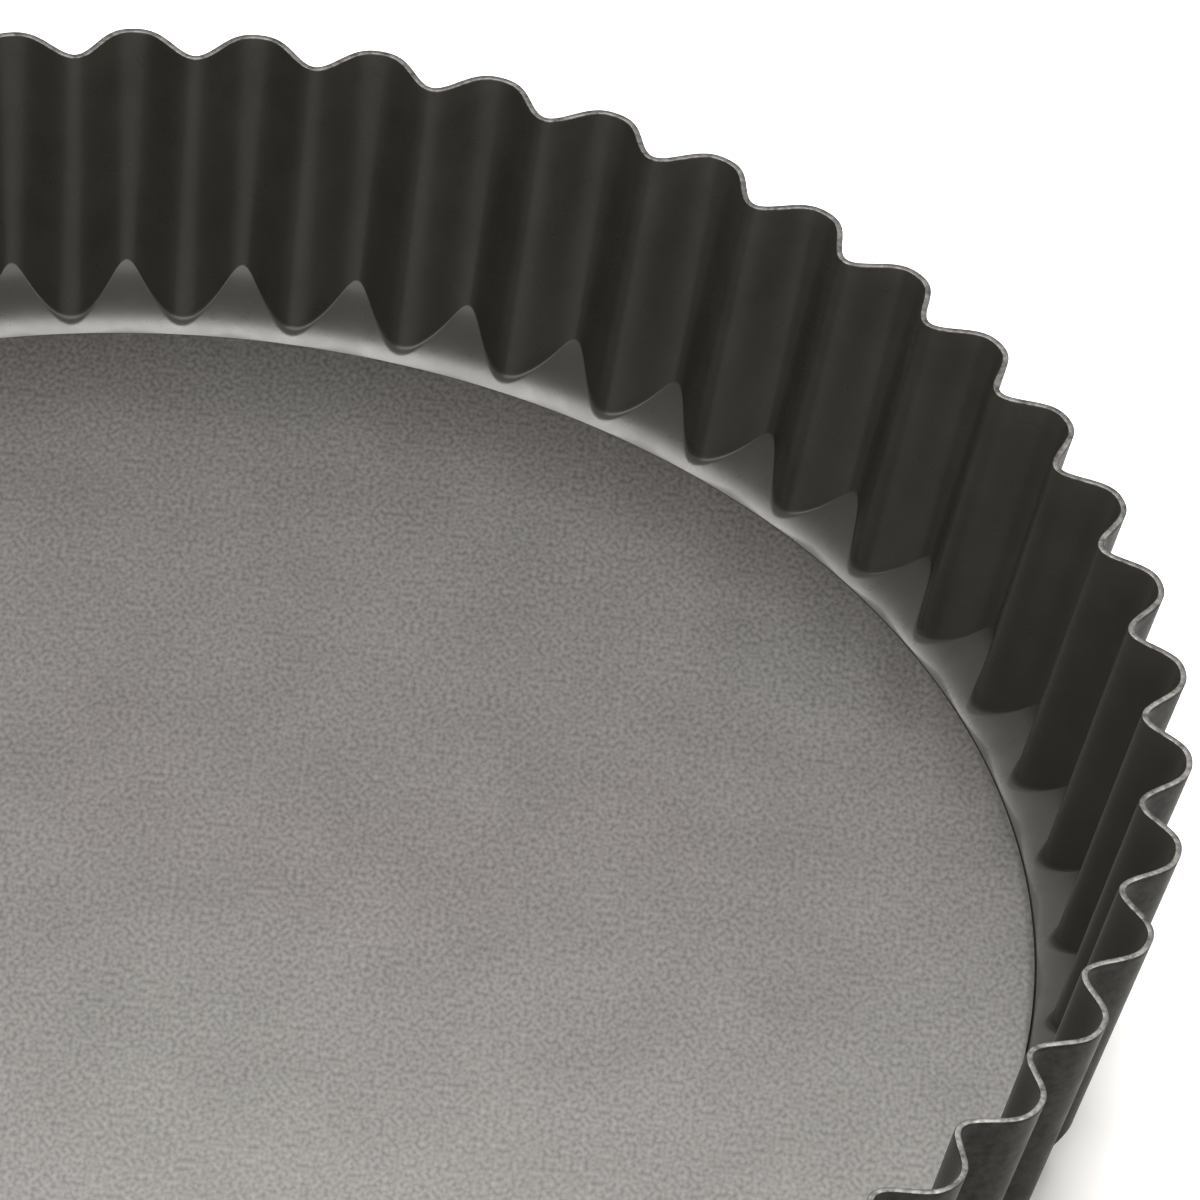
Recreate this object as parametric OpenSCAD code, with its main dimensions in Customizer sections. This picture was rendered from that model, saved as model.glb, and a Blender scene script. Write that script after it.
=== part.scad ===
// Fluted tart pan with a loose base: a pressed fluted ring and a flat disc that rests in its seat.
// Millimetres, +Z up. Origin: centre of the underside of the ring's seat, where the pan stands.

/* [Rim] */
// outside diameter over the flute crests at the rim
rim_diameter = 250; // [180:1:300]
// height from the underside of the seat to the top of the rim
total_height = 40.7; // [36:0.1:60]
// radial depth of the flutes at the rim, from ridge to crest
rim_flute_depth = 5.34; // [4:0.02:6]
// number of flutes round the wall
flute_count = 48; // [36:4:56]

/* [Foot] */
// radial lean of the flute crests from rim to foot
crest_lean = 7.9; // [7.5:0.1:8.2]
// radial depth of the flutes at the foot, from ridge to crest
foot_flute_depth = 4.6; // [3:0.1:4.8]
// radius of the rounded foot that the flutes stand in, on the inside face
bowl_radius = 14; // [13.6:0.1:15]
// radius of the crease between the rounded foot and an inward ridge, on the inside face
ridge_crease = 1.8; // [1:0.1:2]
// radius of the crease between the rounded foot and an outward crest, on the inside face
crest_crease = 1.5; // [1:0.1:2]
// slope of the rounded foot where it meets the loose base, degrees
lip_slope = 18.5; // [17:0.5:20]

/* [Seat] */
// thickness of the pressed sheet
sheet = 0.8; // [0.6:0.1:1]
// width of the seat that carries the loose base
seat_width = 6.5; // [4:0.5:12]
// radial gap round the loose base
base_gap = 0.3; // [0.3:0.1:0.5]
// how far the top of the loose base stands above the edge of its recess
base_proud = 0.25; // [0:0.05:0.4]

/* [Loose base] */
// radial distance from the rim crests to the edge of the loose base
base_inset = 15.5; // [15.2:0.1:15.9]
// thickness of the loose base
base_thickness = 0.9; // [0.7:0.1:1.2]
// chamfer round both edges of the loose base
base_chamfer = 0.15; // [0.1:0.05:0.3]

/* [Hidden] */
// faces round one flute; rows across the crease and across the rounded foot
flute_steps = 8;
crease_steps = 2;
bowl_steps = 2;
last_row = 1 + crease_steps + bowl_steps;
// second and third harmonics of the flute outline, at the rim and at the foot
rim_harmonics = [-0.12, -0.02];
foot_harmonics = [0.03, 0.03];
// half step in flute phase used for slopes, degrees
phase_step = 0.5;
base_radius = rim_diameter / 2 - base_inset;
recess_radius = base_radius + base_gap;
seat_radius = recess_radius - seat_width;
seat_wall = recess_radius + sheet;
base_top = sheet + base_thickness;
column_count = flute_count * flute_steps;
half_sheet = sheet / 2;
wall_rise = total_height - base_top;
crest_rim = rim_diameter / 2 - half_sheet * sqrt(1 + pow(crest_lean / wall_rise, 2));
rim_middle = crest_rim - rim_flute_depth / 2;
foot_middle = crest_rim - crest_lean - foot_flute_depth / 2;
// centre of the rounded foot, as radius and height above the top of the loose base
bowl_centre = [recess_radius - bowl_radius * sin(lip_slope), bowl_radius * cos(lip_slope) - base_proud];
// slope at which the outside of the rounded foot reaches the wall of the seat
seat_wall_slope = asin((seat_wall - bowl_centre[0]) / (bowl_radius + sheet));
disc_facets = 360;
steel_colour = [0.25, 0.24, 0.23];
base_colour = [0.42, 0.41, 0.40];

// flute outline: 1 at a crest, -1 at a ridge; u is the flute phase in degrees
function outline(u, h) = cos(u) + h[0] * (cos(2 * u) - 1) + h[1] * (cos(3 * u) - cos(u));

// middle of the sheet: wall radius at the level of the loose base, and its growth per mm of height
function foot_radius(u) = foot_middle + foot_flute_depth / 2 * outline(u, foot_harmonics);
function rim_radius(u) = rim_middle + rim_flute_depth / 2 * outline(u, rim_harmonics);
function lean(u) = (rim_radius(u) - foot_radius(u)) / wall_rise;
function wall_slope(u) = 90 - atan(lean(u));

// crease radius, middle of the sheet
function crease(u) = half_sheet + ridge_crease
    + (crest_crease - ridge_crease) * (1 + outline(u, foot_harmonics)) / 2;

// centre of the crease, which touches both the wall line and the rounded foot: the point
// one crease radius inside each of them
function crease_centre(u) =
    let (b = lean(u), f = crease(u), q = 1 + b * b, reach = bowl_radius + half_sheet - f,
         a = foot_radius(u) - f * sqrt(q) - bowl_centre[0],
         k = a * b - bowl_centre[1],
         z = (-k - sqrt(k * k - q * (a * a + pow(bowl_centre[1], 2) - reach * reach))) / q)
    [bowl_centre[0] + a + b * z, z];

// slope of the rounded foot where the crease leaves it
function foot_slope(u) =
    let (c = crease_centre(u) - bowl_centre)
    atan2(c[0], -c[1]);

// slope of the sheet at row k: 0 is the rim, the next rows run down the crease, and the
// last ones run along the rounded foot to the slope low
function row_slope(u, k, low) = k == 0 ? wall_slope(u)
    : k <= 1 + crease_steps ? wall_slope(u) + (foot_slope(u) - wall_slope(u)) * (k - 1) / crease_steps
    : foot_slope(u) + (low - foot_slope(u)) * (k - 1 - crease_steps) / bowl_steps;

// middle of the sheet at row k: radius and height above the top of the loose base
function middle(u, k, low) =
    let (s = row_slope(u, k, low), away = [sin(s), -cos(s)])
    k == 0 ? [rim_radius(u), wall_rise]
    : k <= 1 + crease_steps ? crease_centre(u) + crease(u) * away
    : bowl_centre + (bowl_radius + half_sheet) * away;

// face of the sheet at row k, offset d along its normal, as [radius, turn, height];
// the rim row is slid back along the wall so that the rim edge stays level
function face_point(u, k, d, low) =
    let (m = middle(u, k, low), s = row_slope(u, k, low),
         g = (middle(u + phase_step, k, low) - middle(u - phase_step, k, low))
             / (2 * phase_step * PI / 180 / flute_count),
         n = cross([g[0], m[0], g[1]], [cos(s), 0, sin(s)]),
         p = [m[0], 0, m[1]] + d * n / norm(n))
    k == 0 ? p + (wall_rise - p[2]) / sin(s) * [cos(s), 0, sin(s)] : p;

// one column of ring points: down the inside face, round the seat, up the outside face
function column(u) = concat(
    [for (k = [0:last_row]) face_point(u, k, -half_sheet, lip_slope) + [0, 0, base_top]],
    [[recess_radius, 0, sheet],
     [seat_radius, 0, sheet],
     [seat_radius, 0, 0],
     [seat_wall, 0, 0]],
    [for (k = [last_row:-1:0]) face_point(u, k, half_sheet, seat_wall_slope) + [0, 0, base_top]]);

rows = len(column(0));

function turned(p, a) = [p[0] * cos(a) - p[1] * sin(a), p[0] * sin(a) + p[1] * cos(a), p[2]];

ring_points = [for (i = [0:column_count - 1])
    let (a = i * 360 / column_count)
    for (p = column(i * 360 / flute_steps)) turned(p, a)];

ring_faces = [for (i = [0:column_count - 1], j = [0:rows - 1])
    let (i2 = (i + 1) % column_count, j2 = (j + 1) % rows,
         a = i * rows + j, b = i * rows + j2, c = i2 * rows + j2, d = i2 * rows + j)
    for (f = [[a, b, c], [a, c, d]]) f];

// fluted wall, rounded foot and seat, pressed from one sheet
module fluted_ring() {
    color(steel_colour)
        polyhedron(points = ring_points, faces = ring_faces, convexity = 10);
}

// flat loose base
module base_disc() {
    color(base_colour)
        rotate_extrude($fn = disc_facets)
            polygon([[0, sheet],
                     [base_radius - base_chamfer, sheet],
                     [base_radius, sheet + base_chamfer],
                     [base_radius, base_top - base_chamfer],
                     [base_radius - base_chamfer, base_top],
                     [0, base_top]]);
}

fluted_ring();
base_disc();
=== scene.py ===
import math
import bpy
import numpy as np
from mathutils import Matrix, Vector


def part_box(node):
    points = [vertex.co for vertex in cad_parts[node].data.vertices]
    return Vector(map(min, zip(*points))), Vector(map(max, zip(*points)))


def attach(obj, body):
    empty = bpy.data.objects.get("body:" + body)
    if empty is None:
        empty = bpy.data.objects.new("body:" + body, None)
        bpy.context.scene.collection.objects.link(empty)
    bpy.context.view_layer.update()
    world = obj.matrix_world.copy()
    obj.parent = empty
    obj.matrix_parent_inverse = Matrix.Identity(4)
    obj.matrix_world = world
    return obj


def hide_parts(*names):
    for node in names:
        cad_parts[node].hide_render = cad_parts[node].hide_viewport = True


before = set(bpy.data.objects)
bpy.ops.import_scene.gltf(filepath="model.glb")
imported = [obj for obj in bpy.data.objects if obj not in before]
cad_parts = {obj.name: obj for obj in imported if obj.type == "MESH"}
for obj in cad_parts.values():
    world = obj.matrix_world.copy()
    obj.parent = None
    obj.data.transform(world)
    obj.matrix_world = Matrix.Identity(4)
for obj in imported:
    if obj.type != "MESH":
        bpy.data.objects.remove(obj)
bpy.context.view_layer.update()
scene = bpy.context.scene
MM = 0.001

# ---------------------------------------------------------------- sizes, in mm, from the CAD frame
ring_low, ring_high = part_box("fluted_ring")
disc_low, disc_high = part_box("base_disc")
RIM_RADIUS = ring_high[0] / MM
TOTAL_HEIGHT = ring_high[2] / MM
BASE_RADIUS = disc_high[0] / MM
BASE_TOP = disc_high[2] / MM
SHEET = disc_low[2] / MM                 # the loose base rests on the seat, one sheet up
HALF = SHEET / 2
BASE_GAP = 0.3                           # radial gap round the loose base
BASE_PROUD = 0.25                        # how far the loose base stands above the edge of its recess
SEAT_WIDTH = 6.5
RECESS_RADIUS = BASE_RADIUS + BASE_GAP
SEAT_RADIUS = RECESS_RADIUS - SEAT_WIDTH

FLUTES = 48
RIM_FLUTE_DEPTH = 5.34                   # from ridge to crest
FOOT_FLUTE_DEPTH = 4.6
CREST_LEAN = 7.9                         # how far a crest leans in from rim to foot
BOWL_RADIUS = 14.0                       # inside face of the rounded foot that the flutes stand in
RIDGE_CREASE = 1.8                       # small fillets between wall and foot, inside face
CREST_CREASE = 1.5
LIP_SLOPE = math.radians(18.5)
RIM_HARMONICS = (-0.12, -0.02)           # second and third harmonics of the flute outline
FOOT_HARMONICS = (0.03, 0.03)
WALL_RISE = TOTAL_HEIGHT - BASE_TOP
CREST_RIM = RIM_RADIUS - HALF * math.hypot(1, CREST_LEAN / WALL_RISE)
RIM_MIDDLE = CREST_RIM - RIM_FLUTE_DEPTH / 2
FOOT_MIDDLE = CREST_RIM - CREST_LEAN - FOOT_FLUTE_DEPTH / 2
BOWL_CENTRE_R = RECESS_RADIUS - BOWL_RADIUS * math.sin(LIP_SLOPE)
BOWL_CENTRE_Z = BOWL_RADIUS * math.cos(LIP_SLOPE) - BASE_PROUD
SEAT_WALL = RECESS_RADIUS + SHEET        # outside of the step that holds the loose base
SEAT_WALL_SLOPE = math.asin((SEAT_WALL - BOWL_CENTRE_R) / (BOWL_RADIUS + SHEET))

COLUMNS_PER_FLUTE = 40
WALL_ROWS = 7
CREASE_ROWS = 7
BOWL_ROWS = 10
TOP_ROW = 0.02                           # the first wall row starts just under the cut rim edge
PHASE_STEP = 1e-3                        # half step in flute phase used for slopes
RIM_INNER_BEVEL = 0.13                   # corners of the cut rim edge, just broken
RIM_OUTER_BEVEL = 0.05
LIP_ROUND = ((0.03, 0.02), (0.06, 0.07))  # (in from the recess edge, down from the lip)
LIP_DROP = 0.3                           # depth at which the step meets the side of the recess
STEP_INSET = 0.05                        # the recess wall, out from the edge of the loose base
SEAT_CORNER = 0.2                        # rounds of the seat's free edge
SEAT_FLAT_INSIDE, SEAT_FLAT_OUTSIDE = 2, 3
JOGGLE = 0.4                             # round where the seat turns up into the wall of the step


# ---------------------------------------------------------------- the fluted sheet, as functions
def outline(u, h):
    """1 at a flute crest, -1 at a ridge; u is the flute phase."""
    return np.cos(u) + h[0] * (np.cos(2 * u) - 1) + h[1] * (np.cos(3 * u) - np.cos(u))


def foot_radius(u):
    return FOOT_MIDDLE + FOOT_FLUTE_DEPTH / 2 * outline(u, FOOT_HARMONICS)


def rim_radius(u):
    return RIM_MIDDLE + RIM_FLUTE_DEPTH / 2 * outline(u, RIM_HARMONICS)


def lean(u):
    return (rim_radius(u) - foot_radius(u)) / WALL_RISE


def crease(u):
    share = (1 + outline(u, FOOT_HARMONICS)) / 2
    return HALF + RIDGE_CREASE + (CREST_CREASE - RIDGE_CREASE) * share


def crease_centre(u):
    """Centre of the fillet that touches both the wall line and the round of the foot."""
    b, f = lean(u), crease(u)
    a = foot_radius(u) - f * np.sqrt(1 + b * b) - BOWL_CENTRE_R
    k = a * b - BOWL_CENTRE_Z
    reach = BOWL_RADIUS + HALF - f
    z = (-k - np.sqrt(k * k - (1 + b * b) * (a * a + BOWL_CENTRE_Z ** 2 - reach ** 2))) / (1 + b * b)
    return BOWL_CENTRE_R + a + b * z, z


def middle(u, row, low_slope=LIP_SLOPE):
    """Middle of the sheet at a row: (radius, height above the loose base, slope). Rows 0 to 1
    run down the wall, 1 to 2 round the crease and 2 to 3 along the rounded foot."""
    wall_slope = math.pi / 2 - np.arctan(lean(u))
    centre_r, centre_z = crease_centre(u)
    foot_slope = np.arctan2(centre_r - BOWL_CENTRE_R, BOWL_CENTRE_Z - centre_z)
    f = crease(u)
    if row <= 1:
        low_r, low_z = centre_r + f * np.sin(wall_slope), centre_z - f * np.cos(wall_slope)
        top_r = rim_radius(u)
        return top_r + (low_r - top_r) * row, WALL_RISE + (low_z - WALL_RISE) * row, wall_slope
    if row <= 2:
        turn = wall_slope + (foot_slope - wall_slope) * (row - 1)
        return centre_r + f * np.sin(turn), centre_z - f * np.cos(turn), turn
    turn = foot_slope + (low_slope - foot_slope) * (row - 2)
    f = BOWL_RADIUS + HALF
    return BOWL_CENTRE_R + f * np.sin(turn), BOWL_CENTRE_Z - f * np.cos(turn), turn


def face(u, row, offset, low_slope=LIP_SLOPE):
    """Face of the sheet: the middle moved along its normal. Columns are (radius, turn, height).
    The rim row is slid along the wall, so that the rim edge stays level."""
    r, z, s = middle(u, row, low_slope)
    ra, za, _ = middle(u - PHASE_STEP, row, low_slope)
    rb, zb, _ = middle(u + PHASE_STEP, row, low_slope)
    per_turn = FLUTES / (2 * PHASE_STEP)
    gr, gz = (rb - ra) * per_turn, (zb - za) * per_turn
    n = np.stack([r * np.sin(s), gz * np.cos(s) - gr * np.sin(s), -r * np.cos(s)], 1)
    n /= np.linalg.norm(n, axis=1)[:, None]
    p = np.stack([r, 0 * r, z], 1) + offset * n
    if row == 0:
        back = (WALL_RISE - p[:, 2]) / np.sin(s)
        p[:, 0] += back * np.cos(s)
        p[:, 2] = WALL_RISE
    return p


INSIDE, CUT_EDGE, OUTSIDE = 0, 1, 2


def ring_section(u):
    """Closed loop of rows round the section of the sheet, each with the material after it."""
    rows, tags = [], []

    def add(points, tag):
        rows.append(points)
        tags.append(tag)

    def flat(r, z, tag):
        add(np.stack([r + 0 * u, 0 * u, z - BASE_TOP + 0 * u], 1), tag)

    def rounded(r, z, radius, start, end, tag, steps=4):
        """Quarter round about a centre, from one bearing to another, in degrees."""
        for a in np.radians(np.linspace(start, end, steps)):
            flat(r + radius * math.cos(a), z + radius * math.sin(a), tag)

    inner_rim, outer_rim = face(u, 0, -HALF), face(u, 0, HALF)
    across = outer_rim - inner_rim
    across /= np.linalg.norm(across, axis=1)[:, None]

    # down the inside face
    for row in np.linspace(TOP_ROW, 1, WALL_ROWS):
        add(face(u, row, -HALF), INSIDE)
    for row in np.linspace(1, 2, CREASE_ROWS + 1)[1:]:
        add(face(u, row, -HALF), INSIDE)
    for row in np.linspace(2, 3, BOWL_ROWS + 1)[1:]:
        add(face(u, row, -HALF), INSIDE)
    # over the lip, down the side of the recess and round the seat
    lip = BASE_TOP - BASE_PROUD
    for inward, down in LIP_ROUND:
        flat(RECESS_RADIUS - inward, lip - down, INSIDE)
    flat(BASE_RADIUS + STEP_INSET, lip - LIP_DROP, INSIDE)
    flat(BASE_RADIUS + STEP_INSET, SHEET, INSIDE)
    flat(SEAT_RADIUS + SEAT_FLAT_INSIDE, SHEET, INSIDE)
    rounded(SEAT_RADIUS + SEAT_CORNER, SHEET - SEAT_CORNER, SEAT_CORNER, 90, 180, INSIDE)
    rounded(SEAT_RADIUS + SEAT_CORNER, SEAT_CORNER, SEAT_CORNER, 180, 270, INSIDE)
    flat(SEAT_RADIUS + SEAT_FLAT_OUTSIDE, 0, OUTSIDE)
    rounded(SEAT_WALL - JOGGLE, JOGGLE, JOGGLE, 270, 360, OUTSIDE)
    # up the outside face
    for row in np.linspace(3, 2, BOWL_ROWS + 1):
        add(face(u, row, HALF, SEAT_WALL_SLOPE), OUTSIDE)
    for row in np.linspace(2, 1, CREASE_ROWS + 1)[1:]:
        add(face(u, row, HALF), OUTSIDE)
    for row in np.linspace(1, TOP_ROW, WALL_ROWS)[1:]:
        add(face(u, row, HALF), OUTSIDE)
    # over the cut rim edge
    for a in np.radians([0, 45, 90]):
        add(outer_rim + across * RIM_OUTER_BEVEL * (math.cos(a) - 1)
            - np.array([0, 0, RIM_OUTER_BEVEL * (1 - math.sin(a))]), CUT_EDGE)
    for a in np.radians([90, 70, 45, 22, 0]):
        add(inner_rim + across * RIM_INNER_BEVEL * (1 - math.cos(a))
            - np.array([0, 0, RIM_INNER_BEVEL * (1 - math.sin(a))]), CUT_EDGE)
    tags[-1] = INSIDE
    return rows, tags


# ---------------------------------------------------------------- meshes
def new_object(name, vertices, faces, face_materials, materials):
    """A smooth-shaded object from vertices in metres and faces with a material index each."""
    mesh = bpy.data.meshes.new(name)
    mesh.from_pydata(vertices, [], faces)
    for m in materials:
        mesh.materials.append(m)
    mesh.polygons.foreach_set("material_index", face_materials)
    mesh.polygons.foreach_set("use_smooth", np.ones(len(faces), bool))
    mesh.validate()
    mesh.update()
    obj = bpy.data.objects.new(name, mesh)
    scene.collection.objects.link(obj)
    return obj


def make_ring(materials):
    columns = FLUTES * COLUMNS_PER_FLUTE
    i = np.arange(columns)
    u = i * 2 * math.pi / COLUMNS_PER_FLUTE
    turn = i * 2 * math.pi / columns
    rows, tags = ring_section(u)
    count = len(rows)
    points = np.stack(rows, 1)                       # column, row, xyz
    c, s = np.cos(turn)[:, None], np.sin(turn)[:, None]
    x = points[..., 0] * c - points[..., 1] * s
    y = points[..., 0] * s + points[..., 1] * c
    vertices = np.stack([x, y, points[..., 2] + BASE_TOP], -1).reshape(-1, 3) * MM
    j = np.arange(count)
    a = (i[:, None] * count + j[None]).ravel()
    b = (i[:, None] * count + (j + 1) % count).ravel()
    e = (((i + 1) % columns)[:, None] * count + (j + 1) % count).ravel()
    d = (((i + 1) % columns)[:, None] * count + j[None]).ravel()
    faces = np.stack([a, b, e, d], 1)
    return new_object("ring_shell", vertices.tolist(), faces.tolist(), np.tile(tags, columns), materials)


DISC_COLUMNS = 256
DISC_EDGE_ROUND = 0.1
DISC_FLAT = np.linspace(6, BASE_RADIUS - 1, 18)    # radii of the rows across the flat faces


def disc_profile():
    """Outline of the loose base from the centre of its top to the centre of its underside."""
    rim = BASE_RADIUS - DISC_EDGE_ROUND
    profile = [(0.0, BASE_TOP)]
    profile += [(r, BASE_TOP) for r in DISC_FLAT]
    for a in np.radians([0, 30, 60, 90]):
        profile.append((rim + DISC_EDGE_ROUND * math.sin(a),
                        BASE_TOP - DISC_EDGE_ROUND + DISC_EDGE_ROUND * math.cos(a)))
    for a in np.radians([90, 60, 30, 0]):
        profile.append((rim + DISC_EDGE_ROUND * math.sin(a),
                        SHEET + DISC_EDGE_ROUND - DISC_EDGE_ROUND * math.cos(a)))
    profile += [(r, SHEET) for r in DISC_FLAT[::-1]]
    profile.append((0.0, SHEET))
    return profile


def make_disc(materials):
    profile = disc_profile()
    ringed = profile[1:-1]
    turn = np.arange(DISC_COLUMNS) * 2 * math.pi / DISC_COLUMNS
    vertices = [(0, 0, profile[0][1] * MM), (0, 0, profile[-1][1] * MM)]
    for r, z in ringed:
        vertices += [(r * math.cos(t) * MM, r * math.sin(t) * MM, z * MM) for t in turn]
    top, bottom, first = 0, 1, 2
    last = first + (len(ringed) - 1) * DISC_COLUMNS
    faces = []
    for k in range(DISC_COLUMNS):
        k2 = (k + 1) % DISC_COLUMNS
        faces.append((top, first + k, first + k2))
        faces.append((bottom, last + k2, last + k))
        for r in range(len(ringed) - 1):
            p = first + r * DISC_COLUMNS
            q = p + DISC_COLUMNS
            faces.append((p + k, q + k, q + k2, p + k2))
    return new_object("base_plate", vertices, faces, np.zeros(len(faces), int), materials)


# ---------------------------------------------------------------- materials
class Nodes:
    """Small helper for building one material's node tree. Textures are placed by the object's own
    coordinates, so noise scales are in features per metre."""

    def __init__(self, name):
        self.material = bpy.data.materials.new(name)
        self.material.use_nodes = True
        self.tree = self.material.node_tree
        self.shader = next(n for n in self.tree.nodes if n.type == "BSDF_PRINCIPLED")
        self.place = self.add("ShaderNodeTexCoord").outputs["Object"]

    def add(self, kind, **values):
        node = self.tree.nodes.new(kind)
        for key, value in values.items():
            if key in node.inputs:
                node.inputs[key].default_value = value
            else:
                setattr(node, key, value)
        return node

    def link(self, out, socket):
        self.tree.links.new(out, socket)

    def noise(self, scale, detail, roughness, stretch=None):
        node = self.add("ShaderNodeTexNoise")
        node.inputs["Scale"].default_value = scale
        node.inputs["Detail"].default_value = detail
        node.inputs["Roughness"].default_value = roughness
        place = self.place
        if stretch:
            mapping = self.add("ShaderNodeMapping")
            mapping.inputs["Scale"].default_value = stretch
            self.link(place, mapping.inputs["Vector"])
            place = mapping.outputs["Vector"]
        self.link(place, node.inputs["Vector"])
        return node.outputs["Fac"]

    def spread(self, value, low, high, to_low=0.0, to_high=1.0):
        """Map the values from low to high onto another range, held at both ends."""
        node = self.add("ShaderNodeMapRange")
        self.link(value, node.inputs["Value"])
        node.inputs["From Min"].default_value = low
        node.inputs["From Max"].default_value = high
        node.inputs["To Min"].default_value = to_low
        node.inputs["To Max"].default_value = to_high
        return node.outputs["Result"]

    def blend(self, factor, a, b):
        """Mix of two colours, each a tuple or a socket."""
        node = self.add("ShaderNodeMix", data_type="RGBA")
        self.link(factor, node.inputs[0])
        for socket, colour in ((node.inputs[6], a), (node.inputs[7], b)):
            if isinstance(colour, tuple):
                socket.default_value = (*colour, 1)
            else:
                self.link(colour, socket)
        return node.outputs[2]

    def bump(self, height, strength, distance):
        node = self.add("ShaderNodeBump")
        node.inputs["Strength"].default_value = strength
        node.inputs["Distance"].default_value = distance
        self.link(height, node.inputs["Height"])
        return node.outputs["Normal"]

    def drive(self, **outputs):
        """Link outputs to the shader's sockets, with _ for a space in a socket's name."""
        for key, output in outputs.items():
            self.link(output, self.shader.inputs[key.replace("_", " ")])

    def set(self, **values):
        """Set constants on the shader's sockets."""
        for key, value in values.items():
            self.shader.inputs[key.replace("_", " ")].default_value = value


def ring_coating():
    """Satin charcoal coating on the inside face."""
    m = Nodes("ring_coating")
    m.set(IOR=1.5)
    dark, light = (0.017, 0.0168, 0.0140), (0.024, 0.0232, 0.0195)
    mottle = m.spread(m.noise(110, detail=4, roughness=0.6), 0.3, 0.7)
    grain = m.noise(1400, detail=1, roughness=0.5)
    wear = m.spread(m.noise(300, detail=3, roughness=0.6), 0.3, 0.7, 0.26, 0.33)
    m.drive(Base_Color=m.blend(mottle, dark, light), Roughness=wear,
            Normal=m.bump(grain, strength=0.25, distance=0.00002))
    return m.material


def ring_outside_painted_shade():
    """Coating on the outside face, rougher and with less sheen than the inside; its colour is painted
    shade, darker than the inside coating's to stand in for the shade on this side.
    """
    m = Nodes("ring_outside_painted_shade")
    m.set(IOR=1.3, Specular_IOR_Level=0.1)
    # painted shade: these colours are darker than the inside coating's, standing in for shade on the
    # outside face
    dark, light = (0.008, 0.0079, 0.0069), (0.021, 0.0206, 0.0184)
    mottle = m.spread(m.noise(700, detail=4, roughness=0.65), 0.35, 0.7)
    grain = m.noise(1200, detail=2, roughness=0.5)
    wear = m.spread(m.noise(300, detail=3, roughness=0.6), 0.3, 0.7, 0.4, 0.5)
    m.drive(Base_Color=m.blend(mottle, dark, light), Roughness=wear,
            Normal=m.bump(grain, strength=0.3, distance=0.00003))
    return m.material


def bare_edge():
    """Bare, worn steel of the cut rim edge."""
    m = Nodes("rim_edge_steel")
    m.set(Metallic=1.0)
    dark, light = (0.026, 0.0255, 0.0245), (0.098, 0.0955, 0.092)
    tone = m.spread(m.noise(900, detail=3, roughness=0.6), 0.3, 0.7)
    wear = m.spread(m.noise(1500, detail=2, roughness=0.5), 0.3, 0.7, 0.35, 0.55)
    burr = m.noise(2500, detail=2, roughness=0.5)
    m.drive(Base_Color=m.blend(tone, dark, light), Roughness=wear,
            Normal=m.bump(burr, strength=0.3, distance=0.00003))
    return m.material


def base_coating():
    """Fine-grained grey metallic coating of the loose base, with broad patches warmer and cooler."""
    m = Nodes("base_coating")
    m.set(IOR=1.36, Metallic=0.4)
    warm_dark, cool_dark = (0.0580, 0.0546, 0.0545), (0.0570, 0.0563, 0.0545)
    warm_light, cool_light = (0.1125, 0.1060, 0.1055), (0.1105, 0.1092, 0.1055)
    grain = m.noise(1750, detail=0.6, roughness=0.5, stretch=(1.0, 0.7, 1.0))
    patch = m.spread(m.noise(14, detail=1, roughness=0.5), 0.35, 0.65)
    fleck = m.spread(grain, 0.25, 0.85)
    dark = m.blend(patch, warm_dark, cool_dark)
    light = m.blend(patch, warm_light, cool_light)
    wear = m.spread(m.noise(60, detail=4, roughness=0.6), 0.3, 0.7, 0.21, 0.25)
    m.drive(Base_Color=m.blend(fleck, dark, light), Roughness=wear,
            Normal=m.bump(grain, strength=0.2, distance=0.00003))
    return m.material


def floor_material():
    m = Nodes("studio_floor")
    m.set(Base_Color=(0.8, 0.8, 0.8, 1), Roughness=0.9)
    return m.material


# ---------------------------------------------------------------- pieces
ring = make_ring([ring_coating(), bare_edge(), ring_outside_painted_shade()])
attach(ring, "ring")
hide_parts("fluted_ring")

disc = make_disc([base_coating()])
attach(disc, "base")
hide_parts("base_disc")

# ---------------------------------------------------------------- studio
FLOOR_HALF = 6.0


def make_floor():
    corners = [(-FLOOR_HALF, -FLOOR_HALF, 0), (FLOOR_HALF, -FLOOR_HALF, 0),
               (FLOOR_HALF, FLOOR_HALF, 0), (-FLOOR_HALF, FLOOR_HALF, 0)]
    mesh = bpy.data.meshes.new("studio_floor")
    mesh.from_pydata(corners, [], [(0, 1, 2, 3)])
    mesh.materials.append(floor_material())
    obj = bpy.data.objects.new("studio_floor", mesh)
    scene.collection.objects.link(obj)
    return obj


floor = make_floor()


def soft_light(name, azimuth, elevation, distance, width, height, radiance, colour):
    """A rectangular light facing the pan. Azimuth 0 is the far side, +Y, and 90 is +X."""
    light = bpy.data.lights.new(name, "AREA")
    light.shape = "RECTANGLE"
    light.size, light.size_y = width, height
    light.energy = radiance * width * height * math.pi
    light.color = colour
    obj = bpy.data.objects.new(name, light)
    a, e = math.radians(azimuth), math.radians(elevation)
    way = np.array([math.sin(a) * math.cos(e), math.cos(a) * math.cos(e), math.sin(e)])
    scene.collection.objects.link(obj)
    obj.location = Vector(way * distance)
    obj.rotation_mode = "QUATERNION"
    obj.rotation_quaternion = Vector(way).to_track_quat("Z", "Y")
    obj.visible_camera = False
    return obj


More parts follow.
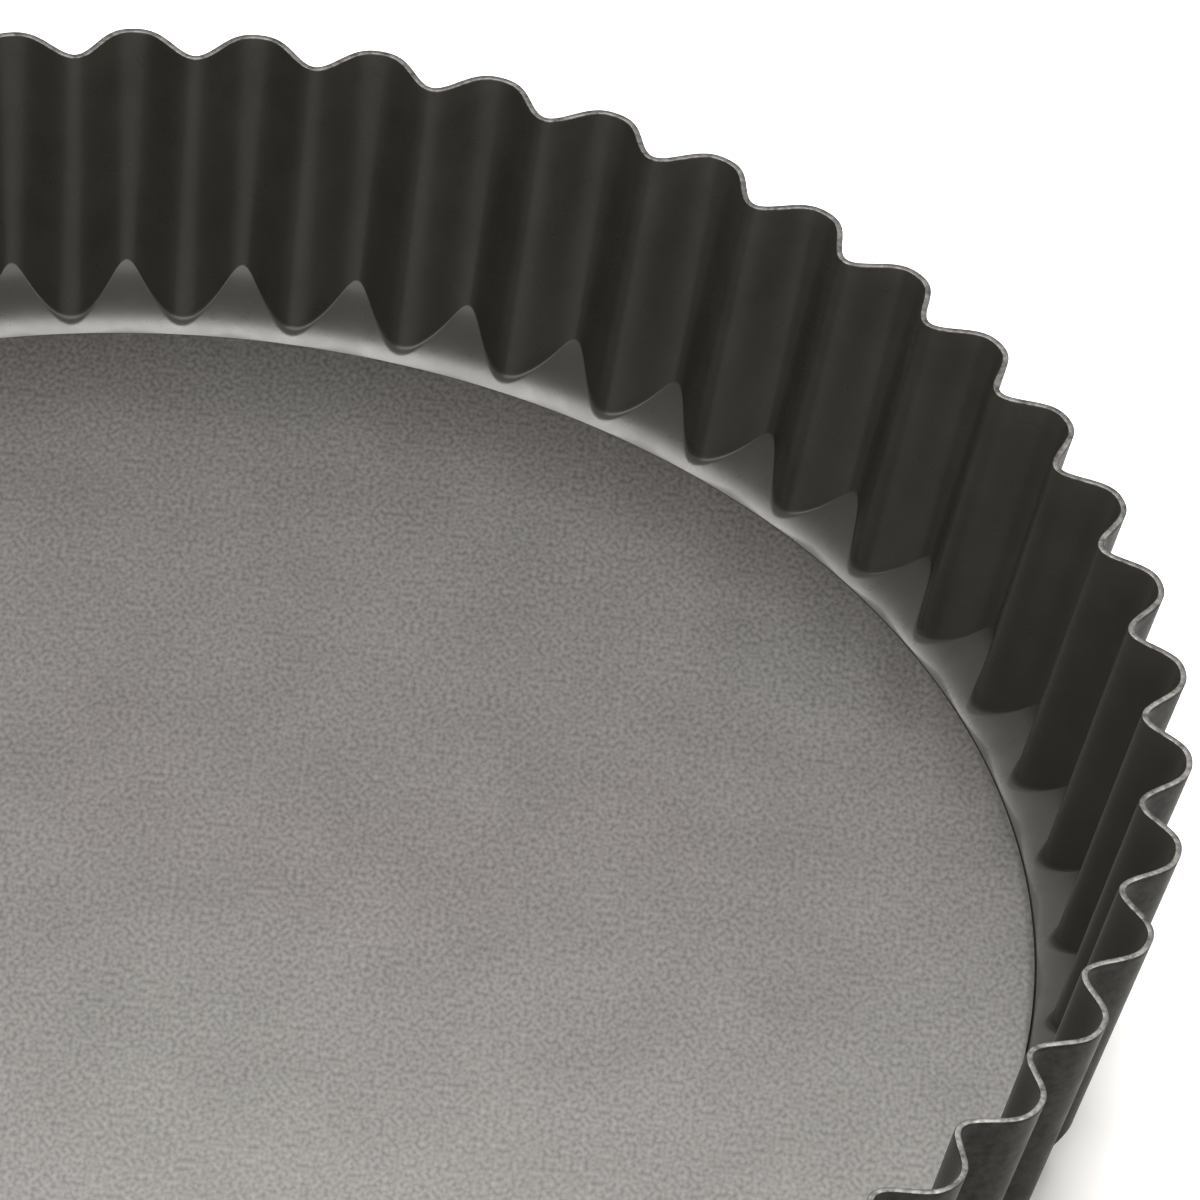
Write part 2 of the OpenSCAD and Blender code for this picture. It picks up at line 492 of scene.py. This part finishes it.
# the top one lights the loose base and the foot of the far wall, the front one the far wall itself
soft_light("softbox_top", azimuth=0, elevation=69, distance=1.6, width=1.25, height=1.18,
           radiance=14.0, colour=(1.0, 0.975, 0.945))
soft_light("softbox_front", azimuth=168, elevation=17, distance=2.2, width=4.4, height=1.3,
           radiance=3.2, colour=(1.0, 0.97, 0.93))

world = bpy.data.worlds.new("studio")
scene.world = world
world.use_nodes = True
background = world.node_tree.nodes["Background"]
background.inputs["Color"].default_value = (1.0, 0.98, 0.95, 1)
background.inputs["Strength"].default_value = 0.78

# ---------------------------------------------------------------- camera
CAMERA_DISTANCE = 1.2103                 # metres from the centre of the top of the loose base
CAMERA_ELEVATION = 0.75616               # angles in radians
CAMERA_AZIMUTH = math.radians(3.624)
CAMERA_YAW, CAMERA_PITCH, CAMERA_ROLL = -0.044067, 0.033146, -0.049060   # off the line to that centre
CAMERA_LENS = 292.6                      # millimetres, on a 36 mm sensor


def turned(v, axis, angle):
    """A vector turned about a unit axis."""
    return (v * math.cos(angle) + np.cross(axis, v) * math.sin(angle)
            + axis * np.dot(axis, v) * (1 - math.cos(angle)))


def make_camera():
    data = bpy.data.cameras.new("camera")
    data.sensor_width = 36
    data.lens = CAMERA_LENS
    data.clip_start, data.clip_end = 0.05, 50
    away = np.array([0, -math.cos(CAMERA_ELEVATION), math.sin(CAMERA_ELEVATION)])
    forward, right = -away, np.array([1.0, 0, 0])
    up = np.cross(right, forward)
    forward, right = turned(forward, up, CAMERA_YAW), turned(right, up, CAMERA_YAW)
    forward, up = turned(forward, right, CAMERA_PITCH), turned(up, right, CAMERA_PITCH)
    right, up = turned(right, forward, CAMERA_ROLL), turned(up, forward, CAMERA_ROLL)
    place = away * CAMERA_DISTANCE + np.array([0, 0, BASE_TOP * MM])
    matrix = Matrix([[right[k], up[k], -forward[k], place[k]] for k in range(3)] + [[0, 0, 0, 1]])
    obj = bpy.data.objects.new("camera", data)
    scene.collection.objects.link(obj)
    obj.matrix_world = Matrix.Rotation(CAMERA_AZIMUTH, 4, "Z") @ matrix
    return obj


scene.camera = make_camera()
scene.view_settings.view_transform = "Standard"
